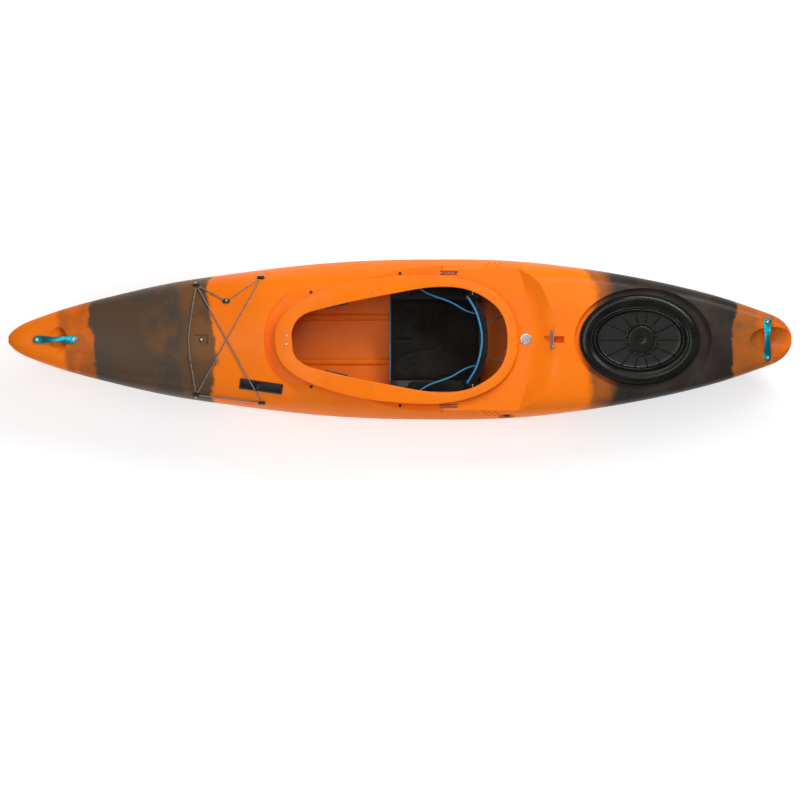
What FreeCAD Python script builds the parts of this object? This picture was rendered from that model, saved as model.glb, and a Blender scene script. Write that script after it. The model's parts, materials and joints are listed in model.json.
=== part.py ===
"""A 3.1 m moulded river and touring kayak: shell, cockpit outfitting, skeg, rear hatch and deck fittings.

Frame: X along the boat with the bow at -X, Y across with starboard at +Y, Z up.
The origin is on the ground under the middle of the boat. Millimetres.
"""
import FreeCAD, Part
import math
import os

V = FreeCAD.Vector

# Driving dimensions of the shell
WALL = 5.0
HALF_LENGTH = 1550.0
LIP_THICK = 12.0
LIP_ROUND = 3.0
LIP_RISE = 40.0
NECK_WALL = 9.0
SHELF_Z = 289.0
FIT_GAP = 0.3

# Lines plan: x, then (y, z) of the bottom edge, lower chine, knuckle, shoulder and crown edge, then the ridge height
STATIONS = [
    (-1550, (3, 302), (8, 305), (13, 310), (10, 314), (6, 316), 317),
    (-1510, (6, 245), (33, 276), (51, 306), (38, 321), (24, 328), 331),
    (-1440, (10, 193), (58, 245), (83, 297), (67, 318), (44, 327), 331),
    (-1320, (20, 143), (92, 212), (124, 281), (105, 313), (70, 324), 331),
    (-1130, (42, 94), (140, 186), (174, 259), (152, 305), (98, 325), 332),
    (-920, (80, 54), (190, 170), (221, 241), (198, 300), (122, 337), 348),
    (-680, (125, 24), (228, 160), (258, 230), (236, 300), (128, 354), 368),
    (-420, (162, 2), (262, 146), (290, 224), (254, 304), (150, 364), 377),
    (-150, (185, -1.5), (281, 132), (311, 223), (266, 302), (178, 352), 364),
    (120, (190, 3), (286, 129), (317, 223), (268, 300), (198, 338), 350),
    (380, (180, 12), (281, 145), (314, 224), (268, 302), (212, 333), 341),
    (640, (145, 33), (258, 170), (292, 226), (262, 310), (222, 331), 337),
    (900, (95, 75), (215, 185), (250, 240), (234, 316), (206, 333), 338),
    (1130, (55, 125), (168, 215), (204, 266), (189, 320), (158, 334), 338),
    (1320, (30, 171), (118, 245), (152, 283), (137, 325), (106, 338), 343),
    (1440, (18, 210), (80, 266), (110, 294), (97, 325), (70, 334), 337),
    (1510, (12, 245), (52, 285), (77, 302), (65, 321), (42, 328), 331),
    (1538, (8, 273), (30, 293), (46, 305), (38, 318), (24, 323), 325),
    (1550, (4, 294), (9, 300), (15, 306), (11, 311), (6, 313), 314),
]

# Top of the cockpit lip, seen from the side
LIP_TOP = [(-570, 376), (-495, 386), (-400, 395), (-283, 392), (-164, 372), (-46, 344), (73, 321), (190, 314), (330, 320),
           (500, 328)]

# Half outlines of the cockpit, from its front to its back
LIP_OUTER = [(-497, 0), (-481, 73), (-426, 135), (-315, 188), (-204, 222), (2, 251), (160, 254), (311, 220), (390, 176),
             (445, 105), (467, 0)]
OPENING = [(-428, 0), (-424, 46), (-400, 84), (-315, 120), (-204, 147), (-36, 180), (117, 206), (200, 208), (267, 197),
           (338, 164), (398, 108), (425, 0)]
WELL_FRONT = [(-538, 0), (-516, 105), (-450, 178), (-344, 222), (-168, 262), (0, 300), (160, 345)]
SHELF_FOOT = [(440, 345), (480, 250), (512, 120), (529, 0)]
SHELF_TOP = [(505, 345), (560, 235), (605, 120), (624, 0)]

# Rear hatch
HATCH_X = 948.0
HATCH_SQUASH = 0.75
RECESS_X = 962.0
RECESS_R = 272.0
RECESS_FLOOR = 309.0
HATCH_HOLE_R = 196.0
COVER_R = 238.0

# Skeg
PIVOT = (1176.0, 176.0)
PIN_R = 4.0
BLADE_THICK = 8.0
SKEG_SLOT = 14.0

# Deck slider of the skeg
SLIDER_AT = (-550.0, -186.0)
SLIDER_LONG = 172.0
SLIDER_WIDE = 44.0
SLIDER_TURN = -8.0


# Cords
LINE_R = 2.4
PIPING_R = 4.0
CABLE_R = 3.0

parts = {}


def box(x0, x1, y0, y1, z0, z1):
    return Part.makeBox(x1 - x0, y1 - y0, z1 - z0, V(x0, y0, z0))


def rod(x, y, z, r, height, axis=V(0, 0, 1)):
    return Part.makeCylinder(r, height, V(x, y, z), axis)


def spline(points):
    curve = Part.BSplineCurve()
    curve.interpolate(points)
    return curve.toShape()


def bowed(a, b, bulge):
    """An arc from a to b that stands off its chord, to the right of the way it runs as seen from the bow."""
    chord = b - a
    side = V(0, chord.z, -chord.y) * bulge
    return Part.Arc(a, (a + b) * 0.5 + side, b).toShape()


def section(station, inset):
    """The closed cross-section at one station, drawn in by inset."""
    x, bottom, chine, knuckle, shoulder, crown, ridge = station
    i = inset
    half = [
        V(x, bottom[0] - 0.3 * i, bottom[1] + i),
        V(x, chine[0] - 0.9 * i, chine[1] + 0.5 * i),
        V(x, knuckle[0] - i, knuckle[1]),
        V(x, shoulder[0] - 0.9 * i, shoulder[1] - 0.5 * i),
        V(x, crown[0] - 0.3 * i, crown[1] - i),
    ]
    other = [V(p.x, -p.y, p.z) for p in half]
    top = V(x, 0, ridge - i)
    return Part.Wire([
        Part.makeLine(other[0], half[0]),
        bowed(half[0], half[1], 0.09),
        bowed(half[1], half[2], 0.03),
        spline(half[2:5]),
        Part.Arc(half[4], top, other[4]).toShape(),
        spline(other[4:1:-1]),
        bowed(other[2], other[1], 0.03),
        bowed(other[1], other[0], 0.09),
    ])


def body(inset, first, last):
    """The solid body of the boat, from one station to another, drawn in by inset."""
    chosen = [s for s in STATIONS if first <= s[0] <= last]
    return Part.makeLoft([section(s, inset) for s in chosen], True, False)


def mirrored(half):
    """A closed smooth outline, from its half on the +Y side."""
    points = [V(x, y, 0) for x, y in half]
    points += [V(x, -y, 0) for x, y in half[-2:0:-1]]
    curve = Part.BSplineCurve()
    curve.interpolate(points, True)
    return Part.Wire(curve.toShape())


def drawn_in(half, d):
    """A half outline moved inward by d, square to itself."""
    first, last = half[0], half[-1]
    ring = [(half[1][0], -half[1][1])] + half + [(half[-2][0], -half[-2][1])]
    result = []
    for before, (x, y), after in zip(ring, half, ring[2:]):
        along = V(after[0] - before[0], after[1] - before[1], 0).normalize()
        result.append((x + d * along.y, y - d * along.x))
    return [(first[0] + d, 0)] + result[1:-1] + [(last[0] - d, 0)]


def column(outline, z0, z1):
    """An upright solid on a plan outline."""
    face = Part.Face(outline)
    face.translate(V(0, 0, z0))
    return face.extrude(V(0, 0, z1 - z0))


def under_lip(drop):
    """Everything lower than the lip's top line moved down by drop."""
    line = [V(x, -400, z - drop) for x, z in LIP_TOP]
    low = 100.0
    a, b = V(line[-1].x, -400, low), V(line[0].x, -400, low)
    face = Part.Face(Part.Wire([spline(line), Part.makeLine(line[-1], a), Part.makeLine(a, b), Part.makeLine(b, line[0])]))
    return face.extrude(V(0, 800, 0))


def half_plan(points, z, x_close):
    """A wire at height z: a smooth crescent across the boat, closed by a straight line at x_close."""
    curve = spline([V(x, y, z) for x, y in points] + [V(x, -y, z) for x, y in points[-2::-1]])
    a, b = V(points[0][0], -points[0][1], z), V(x_close, -points[0][1], z)
    c, d = V(x_close, points[0][1], z), V(points[0][0], points[0][1], z)
    return Part.Wire([curve, Part.makeLine(a, b), Part.makeLine(b, c), Part.makeLine(c, d)])


def well(grow):
    """What is taken out round the cockpit: a trough in front and beside, and a low shelf with a ramp behind."""
    front = [(x - grow, y + (grow if y else 0)) for x, y in reversed(WELL_FRONT)]
    fore = Part.Face(half_plan(front, 150, 170))
    fore = fore.extrude(V(0, 0, 300)).cut(under_lip(LIP_RISE + grow))
    foot = [(x + grow, y) for x, y in SHELF_FOOT]
    top = [(x + grow, y) for x, y in SHELF_TOP]
    z = SHELF_Z - grow
    rise = 50.0
    ramp = Part.makeLoft([half_plan(foot, z, 150), half_plan(top, z + rise, 150)], True, True)
    above = Part.Face(half_plan(top, z + rise, 150)).extrude(V(0, 0, 80))
    aft = ramp.fuse(above).cut(under_lip(LIP_RISE + grow).common(box(100, 440, -400, 400, 100, 400)))
    return fore.fuse(aft)



def ellipse_column(x, r, z0, z1):
    """An upright column on an oval of the rear hatch's proportions, r long and squashed across the boat."""
    oval = Part.Ellipse(V(x, 0, z0), r, r * HATCH_SQUASH)
    return Part.Face(Part.Wire(oval.toShape())).extrude(V(0, 0, z1 - z0))


def oval_turned(profile, flat=HATCH_SQUASH):
    """A turned shape about the hatch's upright axis, squashed to an oval."""
    points = [V(r, 0, z) for r, z in profile]
    turned = Part.Face(Part.makePolygon(points + points[:1])).revolve(V(0, 0, 0), V(0, 0, 1), 360)
    squash = FreeCAD.Matrix()
    squash.scale(1, flat, 1)
    turned = turned.transformGeometry(squash)
    turned.translate(V(HATCH_X, 0, 0))
    return turned


def ellipsoid(x, y, z, rx, ry, rz, grow=0.0):
    stretch = FreeCAD.Matrix()
    stretch.scale(rx + grow, ry + grow, rz + grow)
    ball = Part.makeSphere(1.0).transformGeometry(stretch)
    ball.translate(V(x, y, z))
    return ball


def top_at(shape, x, y):
    """The height of the highest point of a shape above (x, y)."""
    probe = shape.common(Part.makeLine(V(x, y, 0), V(x, y, 500)))
    return max(v.Z for v in probe.Vertexes)


def placed(shape, at, turn=0.0, tilt=0.0, pitch=0.0):
    """A copy of a shape built at the origin, tilted about X, pitched about Y, turned about Z and moved."""
    copy = shape.copy()
    copy.rotate(V(0, 0, 0), V(1, 0, 0), tilt)
    copy.rotate(V(0, 0, 0), V(0, 1, 0), pitch)
    copy.rotate(V(0, 0, 0), V(0, 0, 1), turn)
    copy.translate(at)
    return copy


def lying(surface, x, y):
    """The tilt about X that lays a small flat piece on a surface at (x, y)."""
    step = 6.0
    rise = top_at(surface, x, y + step) - top_at(surface, x, y - step)
    return math.degrees(math.atan2(rise, 2 * step))


def resting(surface, x, y, lift=0.4):
    """The spot of a small fastener on a surface: its place, turn, tilt and pitch."""
    step = 4.0
    rise = top_at(surface, x + step, y) - top_at(surface, x - step, y)
    pitch = -math.degrees(math.atan2(rise, 2 * step))
    return V(x, y, top_at(surface, x, y) + lift), 0, lying(surface, x, y), pitch


def tube(route, r, name):
    """A round cord along straight runs joined by arcs as large as the runs allow."""
    points = [V(*p) for p in route]
    edges = []
    radii = []
    start = points[0]
    for before, corner, after in zip(points, points[1:], points[2:]):
        back = before - corner
        on = after - corner
        half_turn = (math.pi - back.getAngle(on)) / 2
        reach = 0.45 * min(back.Length, on.Length)
        radii.append(reach / math.tan(half_turn))
        back.normalize()
        on.normalize()
        a = corner + back * reach
        b = corner + on * reach
        bisector = back + on
        bisector.normalize()
        gap = radii[-1] / math.cos(half_turn) - radii[-1]
        edges.append(Part.makeLine(start, a))
        edges.append(Part.Arc(a, corner + bisector * gap, b).toShape())
        start = b
    edges.append(Part.makeLine(start, points[-1]))
    path = Part.Wire(edges)
    ring = Part.Wire(Part.makeCircle(r, points[0], points[1] - points[0]))
    solid = path.makePipeShell([ring], True, False, 2)
    length = path.Length
    error = solid.Volume / (math.pi * r * r * length) - 1
    tightest = f"{min(radii):.0f}" if radii else "none"
    print(f"cord {name}: length {length:.0f}, tightest radius {tightest}, volume off by {100 * error:.2f} %")
    return solid


def bolt(head_r, head, shank_r, shank):
    """A low round-headed bolt standing on z = 0 at the origin."""
    cap = Part.makeCylinder(head_r, head)
    cap = cap.makeFillet(head * 0.6, [e for e in cap.Edges if e.BoundBox.ZMin > head * 0.9])
    socket = Part.makeCylinder(head_r * 0.35, head, V(0, 0, head * 0.45))
    stem = Part.makeCylinder(shank_r, shank + 0.5, V(0, 0, -shank))
    return cap.cut(socket).fuse(stem)


# ---------------------------------------------------------------- shell
BOW_DISH = (-1354, 0, 340, 38, 58, 28)
STERN_SCOOP = (1482, 0, 346, 96, 54, 42)
BAR_X = 604.0
DRAIN = V(422, -300, 243)
DRAIN_TILT = 54.0
TIE_X = 193.0
TIE_Y = 263.0


def bar_recess(grow=0.0):
    return box(570 - grow, 650 + grow, -13 - grow, 13 + grow, 302 - grow, 420)


def tie_recess(side, grow=0.0):
    floor = 262 - grow
    y0, y1 = sorted((side * (TIE_Y - 8 - grow), side * (TIE_Y + 8 + grow)))
    return box(TIE_X - 36 - grow, TIE_X + 36 + grow, y0, y1, floor, 300)


def line_recess(grow=0.0):
    return box(-815 - grow, -759 + grow, -20 - grow, 20 + grow, 351 - grow, 420)


def drain_recess(grow=0.0):
    lens = ellipsoid(0, 0, 6, 34, 22, 16, grow)
    return placed(lens, DRAIN, 0, DRAIN_TILT)


def slider_frame(shape, surface):
    """Sets a piece of the skeg slider, built at the origin, on the port side of the foredeck."""
    x, y = SLIDER_AT
    at = V(x, y, top_at(surface, x, y))
    return placed(shape, at, SLIDER_TURN, lying(surface, x, y))


def tray(grow=0.0):
    half, wide = SLIDER_LONG / 2 + grow, SLIDER_WIDE / 2 + grow
    return box(-half, half, -wide, wide, -18 - grow, 40)


outer = body(0, -1550, 1550)
outer = outer.cut(box(-1600, 1600, -400, 400, -50, 0))
inner = body(WALL, -1510, 1538)


def recesses(grow):
    return [
        well(grow),
        ellipse_column(RECESS_X, RECESS_R + grow, RECESS_FLOOR - grow, 420),
        ellipsoid(*BOW_DISH, grow),
        ellipsoid(*STERN_SCOOP, grow),
        bar_recess(grow),
        tie_recess(1, grow),
        tie_recess(-1, grow),
        drain_recess(grow),
        line_recess(grow),
        slider_frame(tray(grow), outer),
    ]


cavity = inner.cut(recesses(WALL))
skin = outer.cut(cavity).cut(recesses(0))

# Cockpit rim: an upright neck inside a wide flat lip
LIP_OVERHANG = 24.0
opening = mirrored(OPENING)
lip_outline = mirrored(LIP_OUTER)
neck_in = mirrored(drawn_in(LIP_OUTER, LIP_OVERHANG + NECK_WALL))
neck_out = mirrored(drawn_in(LIP_OUTER, LIP_OVERHANG))
lip_band = under_lip(0).cut(under_lip(LIP_THICK))
lip = column(lip_outline, 250, 450).common(lip_band).cut(column(opening, 150, 450))
lip = lip.makeFillet(LIP_ROUND, lip.Edges)
for side in (1, -1):
    # a crescent cut in the lip beside each thigh brace
    x, y = -60, side * 197
    mark = rod(x, y, top_at(lip, x, y) - 1.2, 14, 20).cut(rod(x - 4, y, 300, 14, 120))
    lip = lip.cut(mark)
ring = column(neck_out, 200, 420).common(under_lip(LIP_THICK).cut(under_lip(LIP_RISE + WALL)))
skin = skin.cut(column(neck_in, 150, 450)).fuse(ring.cut(column(neck_in, 150, 450))).fuse(lip)
skin = skin.cut(column(opening, 150, 450))

# Three slanted grooves in each side behind the cockpit, each following the deck down over its edge
GROOVE_R = 3.5
GROOVE_RUN = [(0, 264), (13, 274), (27, 284), (41, 294), (54, 303)]
for side in (1, -1):
    for k in range(3):
        spots = [(302 + 22 * k + dx, side * y) for dx, y in GROOVE_RUN]
        route = [(x, y, top_at(outer, x, y) + 1.0) for x, y in spots]
        skin = skin.cut(tube(route, GROOVE_R, f"groove {k + 1}"))

# Raised seats for the stern handle's two ends
HANDLE_Z = 336.2
for side in (1, -1):
    y0, y1 = sorted((side * 58, side * 90))
    skin = skin.fuse(box(1436, 1474, y0, y1, 316, HANDLE_Z).common(outer.fuse(box(1436, 1474, y0, y1, 324, HANDLE_Z))))

# The two halves of the moulding meet just above the knuckle
PARTING_RISE = 6.0
knuckle = [V(s[0], -400, s[3][1] + PARTING_RISE) for s in STATIONS]
knuckle = [knuckle[0] - V(20, 0, 0)] + knuckle[1:-1] + [knuckle[-1] + V(20, 0, 0)]
corners = [V(1570, -400, -60), V(-1570, -400, -60)]
below = Part.Face(Part.Wire([
    spline(knuckle),
    Part.makeLine(knuckle[-1], corners[0]),
    Part.makeLine(corners[0], corners[1]),
    Part.makeLine(corners[1], knuckle[0]),
])).extrude(V(0, 800, 0))
hull = max(skin.common(below).Solids, key=lambda solid: solid.Volume)
deck = skin.cut(below)

# Two raised rails along the inside of the bottom
for side in (1, -1):
    rail = Part.makeCylinder(15, 980, V(-640, side * 88, 0), V(1, 0, 0))
    rail = rail.common(inner)
    rail.translate(V(0, 0, -0.5))
    hull = hull.fuse(rail.common(outer))

# Slot for the skeg
slot = box(1158, 1392, -SKEG_SLOT / 2, SKEG_SLOT / 2, 60, 300)
hull = hull.cut(slot)


# ---------------------------------------------------------------- fasteners through the shell
drills = []


def fastened(make, spots, drill_r, depth):
    """Copies of a bolt at (place, turn, tilt, pitch) spots; each one's hole is drilled in what it holds."""
    bolts = []
    for at, turn, tilt, pitch in spots:
        bolts.append(placed(make, at, turn, tilt, pitch))
        drills.append(placed(Part.makeCylinder(drill_r, depth + 8, V(0, 0, -depth)), at, turn, tilt, pitch))
    return Part.makeCompound(bolts)


def drilled(shape):
    return shape.cut(drills)


BOLT_HEAD = 7.0
BOLT_R = 3.0
small_bolt = bolt(BOLT_HEAD, 3.6, BOLT_R, 16)

# Carry handles: waisted alloy straps that arch over a finger hollow
HANDLE_THICK = 5.0
HANDLE_ARCH = 8.0
HANDLE_HALF = 87.0
HANDLE_BOLT = 72.0


def strap():
    end, hold = HANDLE_HALF, 54.0
    low = [V(-hold, -20, 0), V(0, -20, HANDLE_ARCH), V(hold, -20, 0)]
    high = [p + V(0, 0, HANDLE_THICK) for p in low]
    side = Part.Wire([
        Part.makeLine(V(-end, -20, 0), low[0]),
        Part.Arc(*low).toShape(),
        Part.makeLine(low[2], V(end, -20, 0)),
        Part.makeLine(V(end, -20, 0), V(end, -20, HANDLE_THICK)),
        Part.makeLine(V(end, -20, HANDLE_THICK), high[2]),
        Part.Arc(*high).toShape(),
        Part.makeLine(high[0], V(-end, -20, HANDLE_THICK)),
        Part.makeLine(V(-end, -20, HANDLE_THICK), V(-end, -20, 0)),
    ])
    solid = Part.Face(side).extrude(V(0, 40, 0))
    plan = mirrored([(-end, 0), (-end + 8, 13), (-60, 15), (0, 10.5), (60, 15), (end - 8, 13), (end, 0)])
    return solid.common(column(plan, -5, 30))


BOW_HANDLE = V(-1365, 0, 332)
STERN_HANDLE = V(1455, 0, HANDLE_Z)
parts["bow_handle"] = placed(strap(), BOW_HANDLE)
parts["stern_handle"] = placed(strap(), STERN_HANDLE, 90)
top = V(0, 0, HANDLE_THICK)
handle_spots = [(BOW_HANDLE + top + V(s * HANDLE_BOLT, 0, 0), 0, 0, 0) for s in (1, -1)]
handle_spots += [(STERN_HANDLE + top + V(0, s * HANDLE_BOLT, 0), 0, 0, 0) for s in (1, -1)]
parts["handle_bolts"] = fastened(small_bolt, handle_spots, BOLT_R, 20)
parts["bow_handle"] = drilled(parts["bow_handle"])
parts["stern_handle"] = drilled(parts["stern_handle"])

# Bolts in the cockpit rim: two in front and one for each thigh brace
rim = {
    "rim_front_bolts": [(-449, 17), (-449, -17)],
    "thigh_brace_bolts": [(-111, 184), (-111, -184)],
}
tiny_bolt = bolt(5.0, 2.4, 2.5, 20)
drills.append(rod(446, 0, top_at(lip, 446, 0) - 6, 2.6, 10))
for name, spots in rim.items():
    parts[name] = fastened(tiny_bolt, [resting(lip, x, y) for x, y in spots], 2.5, 22)

# Dark screws in the trough beside the rim, and the foot rail bolts in the hull's sides
trough_spots = [(-352, 187), (-352, -187), (0, 262), (0, -262)]
trough_spots = [resting(deck, x, y) for x, y in trough_spots]
parts["trough_screws"] = fastened(bolt(6.5, 3.2, 2.5, 12), trough_spots, 2.5, 14)

FOOT_RAIL_Z = 194.0
rail_spots = []
for x in (-527, -445):
    for side in (1, -1):
        probe = outer.common(Part.makeLine(V(x, 0, FOOT_RAIL_Z), V(x, side * 400, FOOT_RAIL_Z)))
        y = max(abs(v.Y) for v in probe.Vertexes)
        rail_spots.append((V(x, side * (y + 1.1), FOOT_RAIL_Z), 0, -side * 110, 0))
parts["foot_rail_bolts"] = fastened(bolt(6.0, 3.0, 2.5, 18), rail_spots, 2.5, 20)


# Security bar over its slot at the top of the ramp
BAR_PITCH = -27.5
bar_at = V(BAR_X, 0, top_at(outer.cut(well(0)), BAR_X, 30) + 1.0)
bar = box(-7, 7, -37, 37, 0, 4)
bar = bar.makeFillet(6, [e for e in bar.Edges if e.BoundBox.ZLength > 3.9])
parts["security_bar"] = placed(bar, bar_at, 0, 0, BAR_PITCH)
bar_spots = []
for side in (1, -1):
    turn = FreeCAD.Rotation(V(0, 1, 0), BAR_PITCH)
    bar_spots.append((bar_at + turn.multVec(V(0, side * 29, 4)), 0, 0, BAR_PITCH))
parts["security_bar_bolts"] = fastened(tiny_bolt, bar_spots, 2.5, 22)
parts["security_bar"] = drilled(parts["security_bar"])

# Plain metal badge on the shelf behind the cockpit
badge = Part.makeCylinder(22, 2.4, V(499, 0, top_at(deck, 499, 0)))
parts["badge"] = badge.makeFillet(1.2, [e for e in badge.Edges if e.BoundBox.ZMin > badge.BoundBox.ZMax - 0.5])

# Steel tie bars in the slots beside the cockpit
tie_z = 270.0
parts["tie_bars"] = Part.makeCompound(
    [rod(TIE_X - 36, side * TIE_Y, tie_z, 3.0, 72, V(1, 0, 0)) for side in (1, -1)])

# ---------------------------------------------------------------- drain
DRAIN_BORE = 9.0
DRAIN_FLOOR = -9.6


def at_drain(shape):
    return placed(shape, DRAIN, 0, DRAIN_TILT)


barrel = rod(0, 0, DRAIN_FLOOR - 16, 13.0, 16).fuse(rod(0, 0, DRAIN_FLOOR, 16.5, 3.0))
parts["drain_fitting"] = at_drain(barrel.cut(rod(0, 0, -40, DRAIN_BORE, 60)))
plug = rod(0, 0, DRAIN_FLOOR + 3.2, 13.5, 6.0)
plug = plug.makeFillet(1.5, [e for e in plug.Edges if e.BoundBox.ZMin > DRAIN_FLOOR + 9])
plug = plug.cut(box(-2, 2, -9, 9, DRAIN_FLOOR + 6.2, 20)).cut(box(-9, 9, -2, 2, DRAIN_FLOOR + 6.2, 20))
parts["drain_plug"] = at_drain(plug.fuse(rod(0, 0, DRAIN_FLOOR - 12, DRAIN_BORE - 0.05, 15.5)))
drills.append(at_drain(rod(0, 0, -50, 13.0, 70)))
drills.append(at_drain(rod(0, 0, DRAIN_FLOOR, 16.7, 24)))

# ---------------------------------------------------------------- rear hatch
RIM_R = 205.0
RIDGE_SQUASH = 0.67
parts["hatch_rim"] = oval_turned([
    (HATCH_HOLE_R, RECESS_FLOOR), (RIM_R + 1.5, RECESS_FLOOR), (RIM_R + 1.5, 313), (RIM_R - 1.0, 313),
    (RIM_R - 1.0, 327), (HATCH_HOLE_R, 327)])
cover = oval_turned([
    (0, 322), (188, 322), (190, 328), (208, 328), (210, 311), (COVER_R, 311), (COVER_R, 325), (229, 333),
    (206, 336), (192, 330), (0, 328)])
ridge = oval_turned([(160, 326), (190, 326), (181, 337), (176, 339), (170, 337), (160, 329)], RIDGE_SQUASH)
hub = Part.makeCone(57, 54, 8, V(HATCH_X + 8, 0, 327))
ribs = [hub]
RIB_COUNT = 14
for k in range(RIB_COUNT):
    rib = box(50, 165, -1.6, 1.6, 327, 332)
    ribs.append(placed(rib, V(HATCH_X + 8, 0, 0), 360.0 * k / RIB_COUNT))
bowl = oval_turned([(0, 320), (166, 320), (166, 345), (0, 345)], RIDGE_SQUASH)
parts["hatch_cover"] = cover.fuse([ridge] + [rib.common(bowl) for rib in ribs])
deck = deck.cut(ellipse_column(HATCH_X, HATCH_HOLE_R, 280, 340))

# ---------------------------------------------------------------- skeg
lining = body(WALL + FIT_GAP, -1510, 1538)
px, pz = PIVOT
case = box(1148, 1400, -14, 14, 90, 268).common(lining)
case = case.cut(box(1158, 1392, -SKEG_SLOT / 2, SKEG_SLOT / 2, 60, 260))
pin = rod(px, -22, pz, PIN_R, 44, V(0, 1, 0))
parts["skeg_case"] = case.cut(pin)
parts["skeg_pin"] = pin
blade = [V(px - 13, 0, pz - 6), V(px, 0, pz - 14), V(1250, 0, 172), V(1320, 0, 188), V(1368, 0, 206),
         V(1374, 0, 240), V(1340, 0, 250), V(1250, 0, 226), V(px - 4, 0, pz + 16), V(px - 13, 0, pz + 8)]
curve = Part.BSplineCurve()
curve.interpolate(blade, True)
blade = Part.Face(Part.Wire(curve.toShape())).extrude(V(0, BLADE_THICK, 0))
blade.translate(V(0, -BLADE_THICK / 2, 0))
parts["skeg_blade"] = blade.cut(rod(px, -30, pz, PIN_R + 0.05, 60, V(0, 1, 0)))

# Slider on the foredeck that works the skeg
KNOB_AT = -12.0
half, wide = SLIDER_LONG / 2, SLIDER_WIDE / 2
control = box(-half, half, -wide, wide, -18, 2).cut(box(-half + 6, half - 6, -wide + 6, wide - 6, -14, 10))
parts["skeg_slider_box"] = slider_frame(control, outer)
knob = box(KNOB_AT - 13, KNOB_AT + 13, -wide + 7, wide - 7, -13.9, -4)
knob = knob.fuse(box(KNOB_AT - 6, KNOB_AT + 6, -wide + 9, wide - 9, -6, 7))
parts["skeg_slider_knob"] = slider_frame(knob, outer)

# ---------------------------------------------------------------- cockpit outfitting
SEAT_WIDE = 165.0
CHEEK_Y = 204.0
BACK_PIVOT = (296.0, 150.0)


def ribbon(points, thick, y0, y1):
    """A bent sheet across the boat, thick above its own underside."""
    low = [V(x, y0, z) for x, z in points]
    high = [V(x, y0, z + thick) for x, z in points]
    side = Part.Wire([
        spline(low), Part.makeLine(low[-1], high[-1]), spline(high[::-1]), Part.makeLine(high[0], low[0])])
    return Part.Face(side).extrude(V(0, y1 - y0, 0))


pan_line = [(-38, 84), (30, 62), (130, 46), (230, 46), (318, 66)]
pan = ribbon(pan_line, 6, -CHEEK_Y, CHEEK_Y)
for side in (1, -1):
    y0, y1 = sorted((side * CHEEK_Y, side * (CHEEK_Y + 6)))
    cheek = [V(-20, y0, 74), V(60, y0, 48), (V(318, y0, 60)), V(318, y0, 200), V(240, y0, 262), V(60, y0, 262)]
    pan = pan.fuse(Part.Face(Part.makePolygon(cheek + cheek[:1])).extrude(V(0, y1 - y0, 0)))
    y0, y1 = sorted((side * 40, side * 46))
    foot = box(40, 300, y0, y1, 24, 60).cut(ribbon(pan_line, 300, -300, 300))
    pan = pan.fuse(foot)
parts["seat_pan"] = pan
pad_line = [(x, z + 6.4) for x, z in pan_line]
parts["seat_pad"] = ribbon(pad_line, 16, -SEAT_WIDE, SEAT_WIDE)
for side, label in ((1, "starboard"), (-1, "port")):
    y0, y1 = sorted((side * (SEAT_WIDE + 3), side * (CHEEK_Y - 0.4)))
    pad = box(30, 250, y0, y1, 84, 214)
    parts[f"hip_pad_{label}"] = pad.makeFillet(14, [e for e in pad.Edges if e.BoundBox.YLength > 10])

# Backband, bowed round the paddler's back and hung on a pin at each end
bx, bz = BACK_PIVOT
face_line = [V(262, -176, 0), V(302, -115, 0), V(320, 0, 0), V(302, 115, 0), V(262, 176, 0)]
back_line = [p + V(26, 0, 0) for p in face_line]
band = Part.Face(Part.Wire([
    spline(face_line), Part.makeLine(face_line[-1], back_line[-1]),
    spline(back_line[::-1]), Part.makeLine(back_line[0], face_line[0])])).extrude(V(0, 0, 190))
band.translate(V(0, 0, 124))
front = [V(200, -180, 268), V(200, -110, 300), V(200, 0, 314), V(200, 110, 300), V(200, 180, 268)]
crown = Part.Face(Part.Wire([
    spline(front), Part.makeLine(front[-1], V(200, 180, 400)), Part.makeLine(V(200, 180, 400), V(200, -180, 400)),
    Part.makeLine(V(200, -180, 400), front[0])])).extrude(V(200, 0, 0))
pins = [rod(bx - 8, side * 158, bz, 4.0, 51, V(0, side, 0)) for side in (1, -1)]
band = band.cut(crown)
parts["backband"] = band.cut(pins)
parts["backband_pins"] = Part.makeCompound(pins)
parts["seat_pan"] = parts["seat_pan"].cut([rod(bx - 8, side * 150, bz, 4.06, 70, V(0, side, 0)) for side in (1, -1)])

# Thigh braces under the rim's wide inner flange, their front ends showing inside the opening
BRACE = [(-297, 119), (-208, 139), (-190, 158), (-80, 181), (-80, 194), (-190, 176), (-297, 149)]
BRACE_HOOK = [(-284, 145), (-190, 171), (-90, 189), (-90, 194), (-190, 176), (-284, 150)]


def upright(corners, side):
    """An upright solid on straight-sided corners, given for the starboard side."""
    points = [V(x, side * y, 200) for x, y in corners]
    return Part.Face(Part.makePolygon(points + points[:1])).extrude(V(0, 0, 220))


for side, label in ((1, "starboard"), (-1, "port")):
    plate = upright(BRACE, side).common(under_lip(LIP_THICK).cut(under_lip(LIP_THICK + 6)))
    hook = upright(BRACE_HOOK, side).common(under_lip(LIP_THICK + 5).cut(under_lip(LIP_THICK + 46)))
    parts[f"thigh_brace_{label}"] = drilled(plate.fuse(hook))

# Foot rest: a plate that slides on two rails bolted inside the hull's sides
rail_in = body(WALL + 14, -1510, 1538)
band_box = box(-600, -400, -400, 400, FOOT_RAIL_Z - 14, FOOT_RAIL_Z + 14)
rails = lining.common(band_box).cut(rail_in)
parts["foot_rails"] = drilled(rails)
plate = box(-512, -502, -222, 222, 80, 300)
plate = plate.makeFillet(60, [e for e in plate.Edges if e.BoundBox.XLength > 9.9])
parts["foot_plate"] = plate

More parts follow.
